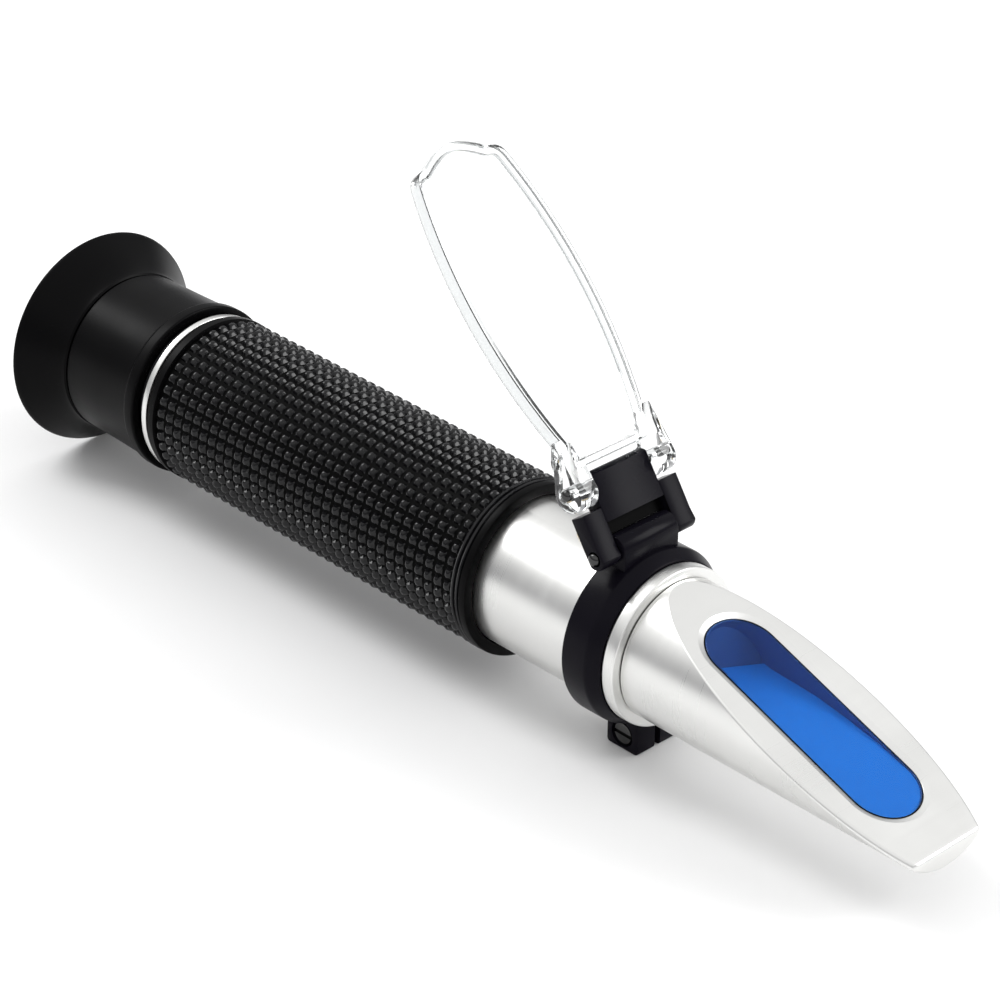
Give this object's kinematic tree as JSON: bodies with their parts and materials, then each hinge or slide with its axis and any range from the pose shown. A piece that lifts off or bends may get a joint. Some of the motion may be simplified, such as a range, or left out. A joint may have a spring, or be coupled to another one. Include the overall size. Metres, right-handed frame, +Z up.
{
  "type": "handheld refractometer",
  "caption": "Handheld refractometer with a rubber grip, focusing eyepiece, slanted blue prism head and a clear daylight plate on a double-pivot hinge, shown open.",
  "frame": {"origin": "middle of the bounding box in X and Y, on the level of the eyecup rim and collar foot on which the instrument lies", "axes": "+X along the optical axis towards the prism head, +Z up through the daylight plate's hinge, Y parallel to the hinge pins"},
  "size_m": [0.1924, 0.038, 0.085],
  "materials": {
    "satin_aluminium": "satin bead-blasted bare metal",
    "black_aluminium": "matt black anodised",
    "black_rubber": "matt moulded rubber",
    "black_plastic": "fine satin moulded plastic",
    "clear_plastic": "clear moulded acrylic",
    "prism_glass": "polished blue glass",
    "optical_glass": "polished",
    "brass": "turned",
    "steel": "plain",
    "bimetal": "rolled strip"
  },
  "bodies": {
    "instrument": {"body_tube": "satin_aluminium", "rubber_grip": "black_rubber", "rear_bezel_ring": "satin_aluminium", "prism_housing": "satin_aluminium", "housing_seal": "black_rubber", "main_prism": "prism_glass", "prism_gasket": "black_rubber", "prism_bed": "black_plastic", "hinge_collar": "black_plastic", "clamp_screw": "steel", "clamp_nut": "steel", "calibration_bush": "brass", "atc_bimetal_strip": "bimetal", "atc_mounting_block": "black_aluminium", "atc_mounting_screw_rear": "steel", "atc_mounting_screw_front": "steel", "light_baffle_front": "black_plastic", "light_baffle_rear": "black_plastic", "reticle_ring": "black_aluminium", "reticle_disc": "optical_glass", "reticle_retainer": "black_aluminium", "focus_sleeve": "satin_aluminium", "focus_o_ring": "black_rubber"},
    "objective": {"objective_cell": "black_aluminium", "objective_lens": "optical_glass", "objective_retainer": "black_aluminium"},
    "calibration": {"calibration_screw": "brass"},
    "link": {"hinge_link": "black_plastic", "lower_hinge_pin": "steel"},
    "plate": {"daylight_plate": "clear_plastic", "upper_hinge_pin": "steel"},
    "ocular": {"lens_cell": "black_aluminium", "eye_lens": "optical_glass", "lens_spacer": "black_aluminium", "field_lens": "optical_glass", "ocular_retainer": "black_aluminium"},
    "eyepiece": {"eyepiece_barrel": "black_aluminium", "eyecup_sleeve": "black_rubber", "rubber_eyecup": "black_rubber"}
  },
  "joints": [
    {"name": "link_hinge", "type": "hinge", "parent": "instrument", "child": "link", "pos_m": [0.0348, 0, 0.035], "axis": [0, 1, 0], "range_deg": [-12, 134.2]},
    {"name": "plate_hinge", "type": "hinge", "parent": "link", "child": "plate", "pos_m": [0.0291, 0, 0.0435], "axis": [0, 1, 0], "range_deg": [-25, 19.8]},
    {"name": "focus_slide", "type": "slide", "parent": "instrument", "child": "ocular", "axis": [1, 0, 0], "range_m": [-0.00245, 0.00105]},
    {"name": "focus_turn", "type": "hinge", "parent": "ocular", "child": "eyepiece", "pos_m": [-0.0782, 0, 0.019], "axis": [1, 0, 0], "range_deg": [-288, 120]},
    {"name": "calibration_turn", "type": "hinge", "parent": "instrument", "child": "calibration", "pos_m": [0.0248, 0, 0.03], "axis": [0, 0, 1], "range_deg": [-217, 217]},
    {"name": "objective_shift", "type": "slide", "parent": "instrument", "child": "objective", "axis": [0, 0, 1], "range_m": [-0.0003, 0.0003]}
  ],
  "couplings": [
    {"joint": "focus_slide", "follows": "focus_turn", "m_per_rad": 0.00047746},
    {"joint": "calibration_turn", "follows": "objective_shift", "rad_per_m": 12566}
  ]
}
